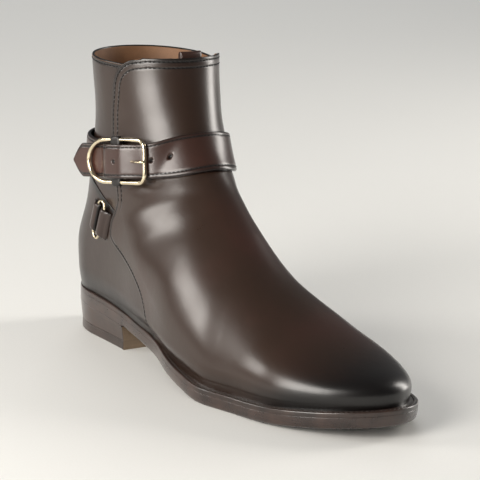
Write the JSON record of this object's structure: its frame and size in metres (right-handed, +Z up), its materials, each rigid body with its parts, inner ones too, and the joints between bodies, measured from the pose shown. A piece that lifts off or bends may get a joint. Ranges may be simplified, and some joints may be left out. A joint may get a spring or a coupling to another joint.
{
  "type": "jodhpur ankle boot",
  "caption": "Right jodhpur ankle boot in smooth dark leather, hollow and open at the collar, with a buckled ankle strap, stitched welt, leather sole and stacked heel.",
  "frame": {"origin": "middle of the heel's flat face on the ground", "axes": "toe towards -Y, inner (medial) side of the foot towards +X, +Z up"},
  "size_m": [0.106, 0.3061, 0.1901],
  "materials": {
    "upper_calf": "burnished, polished",
    "strap_calf": "burnished, polished",
    "chape_calf": "polished",
    "tab_calf": "polished",
    "insole_leather": "natural",
    "welt_leather": "waxed",
    "sole_leather": "edge-dressed, waxed",
    "heel_leather": "edge-dressed, waxed",
    "heel_rubber": "matte",
    "brass": "polished pale gold"
  },
  "bodies": {
    "root": {"upper": "upper_calf", "ankle_strap": "strap_calf", "buckle_chape": "chape_calf", "pull_tab": "tab_calf", "insole": "insole_leather", "welt": "welt_leather", "outsole": "sole_leather", "heel_stack": "heel_leather", "heel_top_piece": "heel_rubber", "buckle_frame": "brass", "buckle_prong": "brass", "side_ring_lateral": "brass", "side_ring_medial": "brass"}
  },
  "joints": []
}
